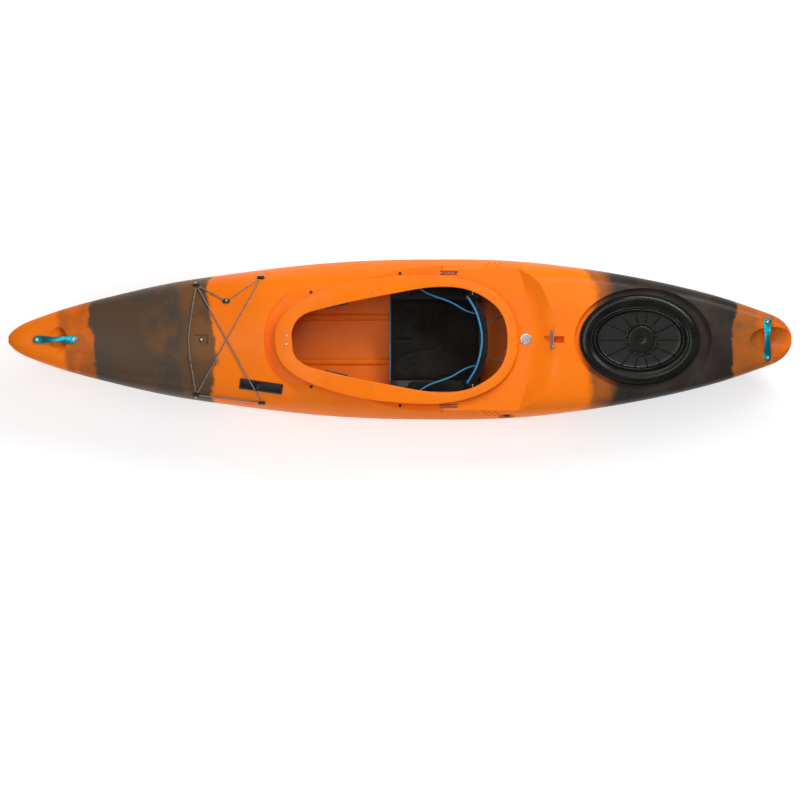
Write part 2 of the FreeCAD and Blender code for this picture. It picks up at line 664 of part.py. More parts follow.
# Foam pillar under the foredeck and the wall in front of the hatch hold
parts["bow_pillar"] = box(-1180, -620, -32, 32, 0, 400).common(lining)
parts["bow_pillar"] = parts["bow_pillar"].cut(line_recess(WALL + FIT_GAP))
wall = box(632, 664, -400, 400, 0, 400).common(lining)
wall = wall.cut(well(WALL + FIT_GAP)).cut(bar_recess(WALL + FIT_GAP))
parts["rear_bulkhead"] = wall.cut(rod(620, -234.5, 261.3, 7.0, 60, V(1, 0, 0)))

# ---------------------------------------------------------------- deck line, laced through its fittings
LINE_SPANS = [
    [(-800, 204, 322), (-788, 182, 339), (-768, 146, 350.5), (-742, 100, 360), (-714, 50, 368), (-686, -1, 372.3),
     (-660, -47, 371.8), (-634, -95, 368.4), (-611, -136, 364), (-588, -177, 357.5), (-567, -214, 341),
     (-553, -239, 319)],
    [(-557, 233, 325), (-571, 207, 342), (-592, 170, 355.5), (-615, 128, 363.5), (-639, 84, 369.2), (-661, 44, 374.5),
     (-679, 12, 379), (-694, -14, 378.5), (-712, -47, 370.5), (-735, -90, 362), (-762, -139, 351.5),
     (-785, -180, 338.5), (-801, -209, 317)],
    [(-794, 209, 320), (-772, 197, 332), (-746, 184, 342), (-720, 170, 349.3), (-698, 158, 354)],
    [(-677, 159, 355), (-653, 175, 351.8), (-619, 198, 344.8), (-585, 221, 333), (-563, 236, 321)],
    [(-793, -222, 305.5), (-755, -226.5, 307), (-703, -232.5, 308.3), (-651, -238.5, 308.3), (-599, -244.5, 307),
     (-561, -248.5, 305.5)],
    [(-808.5, 203, 322), (-813, 180, 336.5), (-820, 143, 347.3), (-826, 100, 353.8), (-834, 52, 358.6),
     (-838, 2, 360.6), (-835, -48, 358.6), (-828, -97, 353.8), (-820, -143, 347.3), (-814, -181, 335.5),
     (-809, -207, 318)],
]
LINE_ENDS = [(-807, 216), (-687, 152), (-551, 244), (-807, -220), (-547, -250)]

spans = [tube(route, LINE_R, f"deck line span {k + 1}") for k, route in enumerate(LINE_SPANS)]
parts["deck_line"] = Part.makeCompound(spans)

cleat = box(-15, 15, -9, 9, 0, 4)
cleat = cleat.makeFillet(8, [e for e in cleat.Edges if e.BoundBox.ZLength > 3.9])
cleat = cleat.fuse(Part.makeCylinder(7.5, 11))
line_spots = [resting(outer, x, y, 0.8) for x, y in LINE_ENDS]
cleats = [placed(cleat, *spot) for spot in line_spots]
head_spots = []
for at, turn, tilt, pitch in line_spots:
    up = placed(Part.makeLine(V(0, 0, 0), V(0, 0, 11)), at, turn, tilt, pitch).Vertexes[1].Point
    head_spots.append((up, turn, tilt, pitch))
line_bolts = fastened(bolt(5.5, 2.6, 2.5, 26), head_spots, 2.5, 28)
centre_bolt = fastened(bolt(5.0, 2.4, 2.5, 8), [(V(-786, 0, 355), 0, 0, 0)], 2.5, 8)
parts["deck_line_bolts"] = Part.makeCompound(line_bolts.Solids + centre_bolt.Solids)
parts["deck_line_fittings"] = drilled(Part.makeCompound(cleats))
parts["centre_line_fitting"] = drilled(rod(-786, 0, 351, 9, 4))

# ---------------------------------------------------------------- cords of the backband, and the skeg's cable
PIPING = [(266, -172, 277), (285, -142, 291.5), (302, -112, 305), (316, -66, 314.8), (324, -22, 318.8),
          (324.5, 24, 318.6), (316, 66, 314.8), (302, 112, 305), (285, 142, 291.5), (266, 172, 277)]
SIDE_CORD = [(81, 201, 252), (98, 188, 254), (130, 173, 252), (168, 161, 247), (205, 147, 240), (238, 127, 234),
             (268, 110, 231), (298, 103, 230)]
REAR_CORD = [(347, 72, 284), (376, 82, 281.5), (410, 95, 287)]
CABLE = [(-464, -198, 333), (-420, -207, 319), (-358, -222, 301), (-290, -240, 284), (-220, -252, 268),
         (-142, -262, 256), (-60, -268, 250), (22, -270.5, 247.6), (104, -271.5, 247), (186, -271, 247.4),
         (268, -269, 248.6), (348, -265, 250.5), (426, -259.5, 253), (504, -252, 256), (582, -243, 259.2),
         (658, -232, 262), (736, -218.5, 264), (814, -205, 265), (890, -190, 265.2), (962, -170, 264.6),
         (1026, -143, 262.5), (1074, -107, 258), (1104, -68, 250.5), (1124, -36, 242), (1144.8, -12.6, 235)]
parts["backband_piping"] = tube(PIPING, PIPING_R, "backband piping")
side_routes = [[(x, side * y, z) for x, y, z in SIDE_CORD] for side in (1, -1)]
rear_routes = [[(x, side * y, z) for x, y, z in REAR_CORD] for side in (1, -1)]
parts["backband_side_cords"] = Part.makeCompound([tube(r, 3.2, "backband side cord") for r in side_routes])
parts["backband_rear_cords"] = Part.makeCompound([tube(r, 2.0, "backband rear cord") for r in rear_routes])
parts["skeg_cable"] = tube(CABLE, CABLE_R, "skeg cable")
cable_way = V(*CABLE[1]) - V(*CABLE[0])
drills.append(Part.makeCylinder(CABLE_R, 30, V(*CABLE[0]) - cable_way * 0.1, cable_way))

# ---------------------------------------------------------------- the shell, with every hole drilled
parts["hull_shell"] = drilled(hull)
parts["deck_shell"] = drilled(deck)

os.makedirs("parts", exist_ok=True)
for name, shape in parts.items():
    solids = len(shape.Solids)
    print(f"{name}: {solids} solids, valid {shape.isValid()}, {shape.Volume / 1000:.1f} cm3")
    shape.exportStep(f"parts/{name}.step")
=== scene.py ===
import json
import math

import bpy
import numpy as np
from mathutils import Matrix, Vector


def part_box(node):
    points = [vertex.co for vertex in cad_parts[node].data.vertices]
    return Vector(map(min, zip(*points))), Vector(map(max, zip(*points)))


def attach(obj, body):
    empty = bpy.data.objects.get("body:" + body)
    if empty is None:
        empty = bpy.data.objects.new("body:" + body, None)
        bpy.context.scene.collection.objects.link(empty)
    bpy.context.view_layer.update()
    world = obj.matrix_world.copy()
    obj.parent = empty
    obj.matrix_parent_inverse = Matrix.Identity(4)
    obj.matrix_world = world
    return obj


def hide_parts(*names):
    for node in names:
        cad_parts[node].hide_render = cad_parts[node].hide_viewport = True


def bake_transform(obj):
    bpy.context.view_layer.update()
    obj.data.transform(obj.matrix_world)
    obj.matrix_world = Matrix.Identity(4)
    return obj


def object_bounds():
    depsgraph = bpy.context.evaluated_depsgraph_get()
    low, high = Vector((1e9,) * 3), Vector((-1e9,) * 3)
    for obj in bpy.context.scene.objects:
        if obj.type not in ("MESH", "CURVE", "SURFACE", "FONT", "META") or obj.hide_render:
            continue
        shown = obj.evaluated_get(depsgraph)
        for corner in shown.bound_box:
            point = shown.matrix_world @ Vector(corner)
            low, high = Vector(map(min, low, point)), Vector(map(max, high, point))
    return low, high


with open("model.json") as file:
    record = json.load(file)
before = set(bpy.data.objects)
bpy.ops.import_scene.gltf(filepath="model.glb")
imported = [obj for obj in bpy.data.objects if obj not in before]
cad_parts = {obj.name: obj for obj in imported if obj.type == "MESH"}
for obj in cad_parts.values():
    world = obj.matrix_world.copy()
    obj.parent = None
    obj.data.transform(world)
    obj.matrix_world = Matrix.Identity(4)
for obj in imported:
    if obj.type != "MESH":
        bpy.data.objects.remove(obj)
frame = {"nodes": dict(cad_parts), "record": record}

CAD_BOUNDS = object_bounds()
LOW, HIGH = Vector(CAD_BOUNDS[0]), Vector(CAD_BOUNDS[1])
MIDDLE = (LOW + HIGH) / 2
RECORD = frame["record"]
BODY_OF = {node: body for body, nodes in RECORD["behaviour"]["bodies"].items() for node in nodes}
SLOT_OF = {part["node"]: part["material_slot"] for part in RECORD["subparts"]}
scene = bpy.context.scene
finished = set()

# ---------------------------------------------------------------- camera, floor and light
VIEW_WIDTH = 3.167
VIEW_DROP = 0.2395
VIEW_HEIGHT = 5.0
SIGHT_LIMIT = 120
FLOOR_SIZE = 160
FLOOR_GAP = 0.0005
PAPER_GLOW = 0.62
ROOM_LIGHT = 0.30
SEEN_EXTRA = 0.55


def add_camera():
    """Looks straight down, bow to the left, with the boat above the middle of the picture."""
    data = bpy.data.cameras.new("camera")
    data.type = "ORTHO"
    data.ortho_scale = VIEW_WIDTH
    data.clip_end = SIGHT_LIMIT
    camera = bpy.data.objects.new("camera", data)
    camera.location = (MIDDLE.x, MIDDLE.y - VIEW_DROP, VIEW_HEIGHT)
    scene.collection.objects.link(camera)
    scene.camera = camera


def add_light(name, place, aim, size, power, colour=(1, 1, 1)):
    """A soft box of size (width, height) metres."""
    data = bpy.data.lights.new(name, "AREA")
    data.shape = "RECTANGLE"
    data.size, data.size_y = size
    data.energy = power
    data.color = colour
    light = bpy.data.objects.new(name, data)
    light.location = place
    light.rotation_euler = (Vector(aim) - Vector(place)).to_track_quat("-Z", "Y").to_euler()
    scene.collection.objects.link(light)


def add_floor():
    """A wide sheet of pale paper that glows a little."""
    only(None)
    bpy.ops.mesh.primitive_plane_add(size=FLOOR_SIZE, location=(0, 0, LOW.z - FLOOR_GAP))
    floor = bpy.context.object
    floor.name = "studio_floor"
    paper = Paint("studio_paper", 0.95)
    paper.mottled((0.56, 0.56, 0.56), (0.54, 0.54, 0.545), 2.0)
    paper.shader.inputs["Emission Color"].default_value = (1, 1, 1, 1)
    paper.shader.inputs["Emission Strength"].default_value = PAPER_GLOW
    floor.data.materials.append(paper.material)


def add_surroundings():
    """A white room: dim as a source of light, and nearly as pale as the floor where it is seen."""
    world = bpy.data.worlds.new("studio")
    scene.world = world
    world.use_nodes = True
    tree = world.node_tree
    backdrop = tree.nodes["Background"]
    backdrop.inputs["Color"].default_value = (1, 1, 1, 1)
    rays = tree.nodes.new("ShaderNodeLightPath")
    glow = tree.nodes.new("ShaderNodeMath")
    glow.operation = "MULTIPLY_ADD"
    glow.inputs[1].default_value = SEEN_EXTRA
    glow.inputs[2].default_value = ROOM_LIGHT
    tree.links.new(rays.outputs["Is Camera Ray"], glow.inputs[0])
    tree.links.new(glow.outputs[0], backdrop.inputs["Strength"])


def add_studio():
    """The floor, the room round it and three soft boxes."""
    add_floor()
    add_surroundings()
    add_light("key", (1.8, 2.6, 3.4), (0, 0, 0.2), (3.2, 0.6), 118)
    add_light("fill", (-0.8, -3.2, 2.0), (0, 0, 0.2), (4.0, 1.2), 20)
    add_light("top", (-0.4, 0.4, 4.4), (0, 0, 0.2), (3.4, 0.4), 42)
    scene.view_settings.view_transform = "Standard"


# ---------------------------------------------------------------- materials
class Paint:
    """A material being mixed, with short ways to add its nodes and join them."""

    def __init__(self, name, rough, metal=0.0, specular=0.5):
        self.material = bpy.data.materials.new(name)
        self.material.use_nodes = True
        self.tree = self.material.node_tree
        self.shader = self.tree.nodes["Principled BSDF"]
        self.shader.inputs["Roughness"].default_value = rough
        self.shader.inputs["Metallic"].default_value = metal
        self.shader.inputs["Specular IOR Level"].default_value = specular
        self.coords = self.tree.nodes.new("ShaderNodeTexCoord")

    def node(self, kind, **values):
        made = self.tree.nodes.new("ShaderNode" + kind)
        for key, value in values.items():
            setattr(made, key, value)
        return made

    def join(self, source, target):
        self.tree.links.new(source, target)

    def feed(self, socket, value):
        """Sets a socket to a number or a colour, or joins another node's output to it."""
        if isinstance(value, tuple):
            socket.default_value = (*value, 1)
        elif isinstance(value, (int, float)):
            socket.default_value = value
        elif value is not None:
            self.join(value, socket)

    def noise(self, scale, detail=4, rough=0.55, stretch=(1, 1, 1), shift=(0, 0, 0)):
        place = self.node("Mapping")
        place.inputs["Scale"].default_value = stretch
        place.inputs["Location"].default_value = shift
        self.join(self.coords.outputs["Object"], place.inputs["Vector"])
        noise = self.node("TexNoise")
        noise.inputs["Scale"].default_value = scale
        noise.inputs["Detail"].default_value = detail
        noise.inputs["Roughness"].default_value = rough
        self.join(place.outputs["Vector"], noise.inputs["Vector"])
        return noise.outputs["Fac"]

    def sums(self, kind, a, b=None, c=None):
        made = self.node("Math", operation=kind)
        for socket, value in zip(made.inputs, (a, b, c)):
            self.feed(socket, value)
        return made.outputs[0]

    def centred(self, value, width):
        """A noise spread over a width in metres, half of it to each side of zero."""
        return self.sums("MULTIPLY_ADD", value, width, -width / 2)

    def step(self, value, edge, width):
        """0 below the edge and 1 above it, soft over width."""
        spread = self.node("MapRange", interpolation_type="SMOOTHSTEP")
        spread.inputs["From Min"].default_value = edge - width / 2
        spread.inputs["From Max"].default_value = edge + width / 2
        self.join(value, spread.inputs["Value"])
        return spread.outputs["Result"]

    def blend(self, factor, a, b, kind="MIX"):
        mix = self.node("Mix", data_type="RGBA", blend_type=kind)
        for socket, value in ((mix.inputs[0], factor), (mix.inputs[6], a), (mix.inputs[7], b)):
            self.feed(socket, value)
        return mix.outputs[2]

    def colour(self, value):
        self.join(value, self.shader.inputs["Base Color"])

    def mottled(self, a, b, scale):
        self.colour(self.blend(self.noise(scale, 5), a, b))

    def roughness(self, factor, low, high):
        spread = self.node("MapRange")
        spread.inputs["To Min"].default_value = low
        spread.inputs["To Max"].default_value = high
        self.join(factor, spread.inputs["Value"])
        self.join(spread.outputs["Result"], self.shader.inputs["Roughness"])

    def bump(self, height, strength, distance, under=None):
        bump = self.node("Bump")
        bump.inputs["Strength"].default_value = strength
        bump.inputs["Distance"].default_value = distance
        self.join(height, bump.inputs["Height"])
        self.feed(bump.inputs["Normal"], under)
        self.join(bump.outputs["Normal"], self.shader.inputs["Normal"])
        return bump.outputs["Normal"]


ORANGE = (1.00, 0.215, 0.005)
ORANGE_SHADE = (0.96, 0.195, 0.004)
ORANGE_DEEP = (0.84, 0.155, 0.004)
TAN = (0.40, 0.110, 0.016)
BROWN = (0.200, 0.084, 0.027)
UMBER = (0.104, 0.060, 0.034)
SLATE = (0.080, 0.059, 0.043)
CHARCOAL = (0.044, 0.033, 0.026)
CHARCOAL_DARK = (0.024, 0.019, 0.017)

# Where one colour of powder gives way to the next, from bow to stern: the place along the boat, how soft
# the change is, how much it leans with height, and the two colours that cloud together behind it
BANDS = [
    (-1.345, 0.030, 0.10, TAN, ORANGE_DEEP),
    (-1.215, 0.012, -0.45, SLATE, UMBER),
    (-1.000, 0.110, 0.30, SLATE, BROWN),
    (-0.860, 0.060, 0.20, BROWN, UMBER),
    (-0.735, 0.016, -0.10, ORANGE, ORANGE_SHADE),
    (0.735, 0.040, 0.62, TAN, BROWN),
    (0.820, 0.075, 0.35, CHARCOAL, CHARCOAL_DARK),
    (1.120, 0.150, -0.40, CHARCOAL_DARK, CHARCOAL),
    (1.315, 0.012, 0.25, TAN, BROWN),
    (1.425, 0.035, 0.10, ORANGE_DEEP, TAN),
]


DECK_HEIGHT = 0.3
WANDER = 0.14
RAGGED = 0.045


def blended_polyethylene():
    """Rotomoulded plastic in orange, with slate and brown powders run together near both ends."""
    paint = Paint("blended_polyethylene", 0.36, specular=0.13)
    split = paint.node("SeparateXYZ")
    paint.join(paint.coords.outputs["Object"], split.inputs[0])
    clouds = paint.noise(5.5, 7, 0.62, (1, 1.3, 1.3))
    streaks = paint.noise(3.2, 5, 0.6, (1.6, 0.8, 0.8), (4, 1, 2))
    colour = paint.blend(paint.step(clouds, 0.58, 0.3), ORANGE, ORANGE_SHADE)
    for k, (at, soft, lean, main, other) in enumerate(BANDS):
        wander = paint.centred(paint.noise(3.0, 2, 0.5, shift=(k * 3.1, k, 0)), WANDER)
        ragged = paint.centred(paint.noise(22, 5, 0.65, shift=(k, k * 2.3, 0)), RAGGED)
        tilt = paint.sums("MULTIPLY_ADD", split.outputs["Z"], -lean, DECK_HEIGHT * lean)
        uneven = paint.sums("ADD", tilt, paint.sums("ADD", wander, ragged))
        along = paint.sums("ADD", split.outputs["X"], uneven)
        cloudy = paint.sums("MULTIPLY_ADD", streaks, 0.6, paint.sums("MULTIPLY", clouds, 0.4))
        mixed = paint.blend(paint.step(cloudy, 0.50 + 0.02 * (k % 3), 0.16), main, other)
        colour = paint.blend(paint.step(along, at, soft), colour, mixed)
    grain = paint.sums("MULTIPLY", paint.noise(85, 4, 0.6), 0.05)
    paint.colour(paint.blend(grain, colour, ORANGE_DEEP, "MULTIPLY"))
    paint.roughness(paint.noise(34, 5), 0.27, 0.44)
    skin = paint.bump(paint.noise(380, 2), 0.10, 0.0006)
    paint.bump(paint.noise(55, 8, 0.75, (0.10, 1.4, 1)), 0.08, 0.0006, skin)
    return paint.material


def moulded_plastic(name, dark, light, low, high, grain=500, specular=0.45):
    paint = Paint(name, low, specular=specular)
    paint.mottled(dark, light, 30)
    paint.roughness(paint.noise(90, 4), low, high)
    fine = paint.bump(paint.noise(grain, 3), 0.22, 0.0004)
    paint.bump(paint.noise(70, 7, 0.7, (0.3, 1.2, 1)), 0.08, 0.0004, fine)
    return paint.material


# Heights between which the hatch cover is painted paler: a painted highlight on the floor of the dish that
# stands in for the shading round its ribs.
DISH_PAINTED_LIGHT_LOW = 0.3274
DISH_PAINTED_LIGHT_HIGH = 0.3298


def hatch_rubber():
    """Soft black rubber, dusty green where it has been handled, with painted light: everything at the height of
    the dish floor is painted paler, so the ribs stand out darker as if shaded.
    """
    paint = Paint("hatch_rubber", 0.36, specular=0.24)
    bloom = paint.step(paint.noise(7, 6, 0.65, (1, 1, 0.5)), 0.52, 0.35)
    split = paint.node("SeparateXYZ")
    paint.join(paint.coords.outputs["Object"], split.inputs[0])
    height = split.outputs["Z"]
    # Painted light: the band at the height of the dish floor is mixed to a paler colour than the rubber, so the
    # ribs read darker as if in shade.
    dish = paint.sums("SUBTRACT", paint.step(height, DISH_PAINTED_LIGHT_LOW, 0.0004), paint.step(height, DISH_PAINTED_LIGHT_HIGH, 0.0006))
    rubber = paint.blend(bloom, (0.0015, 0.0020, 0.0012), (0.0095, 0.0110, 0.0065))
    paint.colour(paint.blend(dish, rubber, (0.0170, 0.0195, 0.0170)))
    paint.roughness(paint.noise(26, 6, 0.7), 0.16, 0.34)
    skin = paint.bump(paint.noise(600, 2), 0.14, 0.0004)
    paint.bump(paint.noise(24, 5, 0.6), 0.06, 0.0006, skin)
    return paint.material


def metal(name, colour, tint, low, high, brushed=(1, 30, 1)):
    paint = Paint(name, low, metal=1.0)
    paint.mottled(colour, tint, 25)
    lines = paint.noise(120, 6, 0.7, brushed)
    paint.roughness(lines, low, high)
    paint.bump(lines, 0.06, 0.0002)
    return paint.material


def woven(name, dark, light, threads=1400, fuzz=0.10):
    """Tight cloth: two crossed sets of threads, worn a little paler here and there."""
    paint = Paint(name, 0.85, specular=0.12)
    paint.shader.inputs["Sheen Weight"].default_value = fuzz
    paint.shader.inputs["Sheen Roughness"].default_value = 0.5
    crossed = []
    for direction in ("X", "Y", "Z"):
        wave = paint.node("TexWave", wave_type="BANDS", bands_direction=direction)
        wave.inputs["Scale"].default_value = threads / 20
        wave.inputs["Distortion"].default_value = 0.5
        paint.join(paint.coords.outputs["Object"], wave.inputs["Vector"])
        crossed.append(wave.outputs["Fac"])
    cloth = paint.sums("MAXIMUM", paint.sums("MULTIPLY", crossed[0], crossed[1]), crossed[2])
    worn = paint.blend(paint.step(paint.noise(8, 6, 0.65), 0.5, 0.4), dark, light)
    paint.colour(paint.blend(paint.sums("MULTIPLY", cloth, 0.3), worn, light))
    weave = paint.bump(cloth, 0.25, 0.0005)
    paint.bump(paint.noise(16, 5, 0.6, (1, 0.6, 1)), 0.25, 0.004, weave)
    return paint.material


BRAID_STRANDS = 5
BRAID_PER_METRE = 95.0


def braided(name, dark, light, fleck=None):
    """The woven sheath of a cord: strands that cross along it, from its UV map in metres and turns."""
    paint = Paint(name, 0.6, specular=0.35)
    paint.shader.inputs["Sheen Weight"].default_value = 0.25
    split = paint.node("SeparateXYZ")
    paint.join(paint.coords.outputs["UV"], split.inputs[0])
    strands = []
    for sign in (1, -1):
        turn = paint.sums("MULTIPLY", split.outputs["Y"], math.pi * BRAID_STRANDS * sign)
        phase = paint.sums("MULTIPLY_ADD", split.outputs["X"], math.pi * BRAID_PER_METRE, turn)
        strands.append(paint.sums("ABSOLUTE", paint.sums("SINE", phase)))
    weave = paint.sums("MAXIMUM", *strands)
    colour = paint.blend(weave, dark, light)
    if fleck:
        colour = paint.blend(paint.step(paint.noise(240, 2), 0.60, 0.02), colour, fleck)
    paint.colour(colour)
    paint.bump(weave, 0.5, 0.0006)
    return paint.material


def mix_materials():
    black = ((0.009, 0.009, 0.0095), (0.024, 0.024, 0.025))
    return {
        "shell_plastic": blended_polyethylene(),
        "handle_alloy": metal("teal_anodised_alloy", (0.005, 0.20, 0.27), (0.012, 0.30, 0.37), 0.24, 0.40),
        "stainless": metal("stainless_steel", (0.52, 0.51, 0.48), (0.40, 0.39, 0.37), 0.20, 0.38),
        "badge_metal": metal("polished_badge", (0.72, 0.72, 0.71), (0.55, 0.55, 0.55), 0.14, 0.32, (12, 12, 1)),
        "black_plastic": moulded_plastic("black_nylon", *black, 0.34, 0.55),
        "hatch_rubber": hatch_rubber(),
        "seat_plastic": moulded_plastic("black_polyethylene", *black, 0.42, 0.62, 300),
        "seat_fabric": woven("black_seat_cloth", (0.0055, 0.005, 0.0045), (0.019, 0.016, 0.013)),
        "foam": moulded_plastic("closed_cell_foam", (0.02, 0.02, 0.021), (0.05, 0.05, 0.052), 0.8, 0.95, 160),
        "blue_cord": braided("blue_shock_cord", (0.006, 0.085, 0.20), (0.03, 0.30, 0.58)),
        "black_cord": braided("black_shock_cord", (0.006, 0.006, 0.006), (0.03, 0.03, 0.03)),
        "grey_cord": braided("flecked_deck_line", (0.07, 0.06, 0.05), (0.27, 0.24, 0.21), (0.02, 0.02, 0.02)),
        "cable_sheath": moulded_plastic("cable_sheath", (0.008, 0.008, 0.008), (0.02, 0.02, 0.02), 0.3, 0.45),
        "rail_alloy": metal("rail_alloy", (0.42, 0.42, 0.42), (0.32, 0.32, 0.33), 0.3, 0.45),
    }


# ---------------------------------------------------------------- making and finishing pieces
def only(obj):
    """Selects one object and nothing else, or nothing at all."""
    if bpy.context.object and bpy.context.object.mode != "OBJECT":
        bpy.ops.object.mode_set(mode="OBJECT")
    bpy.ops.object.select_all(action="DESELECT")
    if obj:
        obj.select_set(True)
        bpy.context.view_layer.objects.active = obj


def edit(obj):
    """Opens one object in edit mode with all of it selected."""
    only(obj)
    bpy.ops.object.mode_set(mode="EDIT")
    bpy.ops.mesh.select_all(action="SELECT")


def done():
    bpy.ops.object.mode_set(mode="OBJECT")


def apply_all(obj):
    only(obj)
    for modifier in list(obj.modifiers):
        bpy.ops.object.modifier_apply(modifier=modifier.name)


def smooth(obj, degrees):
    only(obj)
    bpy.ops.object.shade_smooth_by_angle(angle=math.radians(degrees))


def install(obj, *nodes, body=None, slot=None):
    """Gives a finished piece its finish and its body, in the place of its CAD nodes."""
    slot = slot or SLOT_OF[nodes[0]]
    obj.data.materials.clear()
    obj.data.materials.append(MATERIALS[slot])
    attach(obj, body or BODY_OF[nodes[0]])
    if nodes:
        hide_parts(*nodes)
        finished.update(nodes)
    return obj


def copy_of(node, name):
    """A loose copy of a CAD node's mesh, its doubled corners merged."""
    obj = bpy.data.objects.new(name, frame["nodes"][node].data.copy())
    scene.collection.objects.link(obj)
    edit(obj)
    bpy.ops.mesh.customdata_custom_splitnormals_clear()
    bpy.ops.mesh.remove_doubles(threshold=0.00002)
    done()
    return obj


def soft_edged(node, width, segments=2):
    """A hard piece with the small rounds that its real edges have."""
    obj = copy_of(node, node + "_finished")
    edit(obj)
    bpy.ops.mesh.dissolve_limited(angle_limit=math.radians(3))
    done()
    bevel = obj.modifiers.new("edges", "BEVEL")
    bevel.width = width
    bevel.segments = segments
    bevel.limit_method = "ANGLE"
    bevel.angle_limit = math.radians(38)
    apply_all(obj)
    smooth(obj, 42)
    return install(obj, node)


def moulded_half(node):
    """One half of the shell, shaded as the smooth moulding that it is."""
    obj = copy_of(node, node + "_skin")
    smooth(obj, 30)
    return install(obj, node)


def cord_of(name, routes, radius, *nodes, slot=None, body=None):
    """A round cord on one or more smooth routes, with its UV map in metres along and turns round."""
    data = bpy.data.curves.new(name, "CURVE")
    data.dimensions = "3D"
    data.bevel_depth = radius
    data.bevel_resolution = 3
    data.resolution_u = 4
    data.use_fill_caps = True
    for route in routes:
        spline = data.splines.new("NURBS")
        spline.points.add(len(route) - 1)
        for point, place in zip(spline.points, route):
            point.co = (*place, 1)
        spline.order_u = 3
        spline.use_endpoint_u = True
    obj = bpy.data.objects.new(name, data)
    scene.collection.objects.link(obj)
    length = max(sum(math.dist(a, b) for a, b in zip(route, route[1:])) for route in routes)
    only(obj)
    bpy.ops.object.convert(target="MESH")
    obj = bpy.context.object
    for layer in obj.data.uv_layers:
        for corner in layer.data:
            corner.uv.x *= length
    smooth(obj, 60)
    return install(obj, *nodes, slot=slot, body=body)


def metres(*route):
    return [tuple(value * 0.001 for value in place) for place in route]


def both_sides(route):
    return [route, [(x, -y, z) for x, y, z in route]]


# ---------------------------------------------------------------- cords
LINE_SPANS = [
    metres((-800, 204, 322), (-788, 182, 339), (-768, 146, 350.5), (-742, 100, 360), (-714, 50, 368),
           (-686, -1, 372.3), (-660, -47, 371.8), (-634, -95, 368.4), (-611, -136, 364), (-588, -177, 357.5),
           (-567, -214, 341), (-553, -239, 319)),
    metres((-557, 233, 325), (-571, 207, 342), (-592, 170, 355.5), (-615, 128, 363.5), (-639, 84, 369.2),
           (-661, 44, 374.5), (-679, 12, 379), (-694, -14, 378.5), (-712, -47, 370.5), (-735, -90, 362),
           (-762, -139, 351.5), (-785, -180, 338.5), (-801, -209, 317)),
    metres((-794, 209, 320), (-772, 197, 332), (-746, 184, 342), (-720, 170, 349.3), (-698, 158, 354)),
    metres((-677, 159, 355), (-653, 175, 351.8), (-619, 198, 344.8), (-585, 221, 333), (-563, 236, 321)),
    metres((-793, -222, 305.5), (-755, -226.5, 307), (-703, -232.5, 308.3), (-651, -238.5, 308.3),
           (-599, -244.5, 307), (-561, -248.5, 305.5)),
    metres((-808.5, 203, 322), (-813, 180, 336.5), (-820, 143, 347.3), (-826, 100, 353.8), (-834, 52, 358.6),
           (-838, 2, 360.6), (-835, -48, 358.6), (-828, -97, 353.8), (-820, -143, 347.3), (-814, -181, 335.5),
           (-809, -207, 318)),
]
PIPING = metres(
    (266, -172, 277), (285, -142, 291.5), (302, -112, 305), (316, -66, 314.8), (324, -22, 318.8),
    (324.5, 24, 318.6), (316, 66, 314.8), (302, 112, 305), (285, 142, 291.5), (266, 172, 277))
SIDE_CORD = metres(
    (81, 201, 252), (98, 188, 254), (130, 173, 252), (168, 161, 247), (205, 147, 240), (238, 127, 234),
    (268, 110, 231), (298, 103, 230))
REAR_CORD = metres((347, 72, 284), (376, 82, 281.5), (410, 95, 287))
SKEG_CABLE = metres(
    (-464, -198, 333), (-420, -207, 319), (-358, -222, 301), (-290, -240, 284), (-220, -252, 268),
    (-142, -262, 256), (-60, -268, 250), (22, -270.5, 247.6), (104, -271.5, 247), (186, -271, 247.4),
    (268, -269, 248.6), (348, -265, 250.5), (426, -259.5, 253), (504, -252, 256), (582, -243, 259.2),
    (658, -232, 262), (736, -218.5, 264), (814, -205, 265), (890, -190, 265.2), (962, -170, 264.6),
    (1026, -143, 262.5), (1074, -107, 258), (1104, -68, 250.5), (1124, -36, 242), (1144.8, -12.6, 235))


def add_cords():
    cord_of("deck_line_braided", LINE_SPANS, 0.0024, "deck_line")
    cord_of("backband_piping_cord", [PIPING], 0.004, "backband_piping")
    side = cord_of("backband_side_cord_pair", both_sides(SIDE_CORD), 0.0032, "backband_side_cords", body="boat")
    side.parent = None
    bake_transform(side)
    rear = cord_of("backband_rear_cord_pair", both_sides(REAR_CORD), 0.002, "backband_rear_cords", body="boat")
    rear.parent = None
    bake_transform(rear)
    cord_of("skeg_cable_sheath", [SKEG_CABLE], 0.003, "skeg_cable")


# ---------------------------------------------------------------- rear hatch cover
HATCH_AT = 0.948
HUB_AT = HATCH_AT + 0.008
OUTER_FLAT = 0.75
RIDGE_FLAT = 0.67
RIB_COUNT = 14
COVER_PROFILE = [
    (188, 322), (190, 328), (208, 328), (210, 311), (236, 311), (237.6, 313), (238, 318), (237.4, 324),
    (235, 328.5), (230, 331.8), (223, 334), (214, 335.6), (206, 335.6), (201, 334.2), (196, 331.6),
    (192, 330.2), (190, 330), (187.5, 330.6), (185.4, 332.6), (183.5, 335.2), (181, 337.4), (178.4, 338.8),
    (176, 339), (173.4, 338.4), (171, 336.8), (169, 334.2), (166.4, 331.2), (163, 329.4), (158, 328.6),
    (140, 328.1), (75, 328), (69, 328)]
HUB_PROFILE = [
    (66, 327.5), (65.4, 331.4), (64, 332.6), (61, 332.9), (58.6, 332.6), (57.6, 331.6), (57, 329.2),
    (54.4, 329.0), (53.6, 331), (52.6, 333.6), (50.6, 334.8), (47, 335), (20, 334.6), (12, 334.2),
    (10.6, 333.6), (9, 333.6)]
RIB = {"start": 0.060, "width": 0.0040, "low": 0.3262, "high": 0.3342}
TOOTH = {"start": 0.0535, "end": 0.0660, "width": 0.0110, "low": 0.3262, "high": 0.3352}
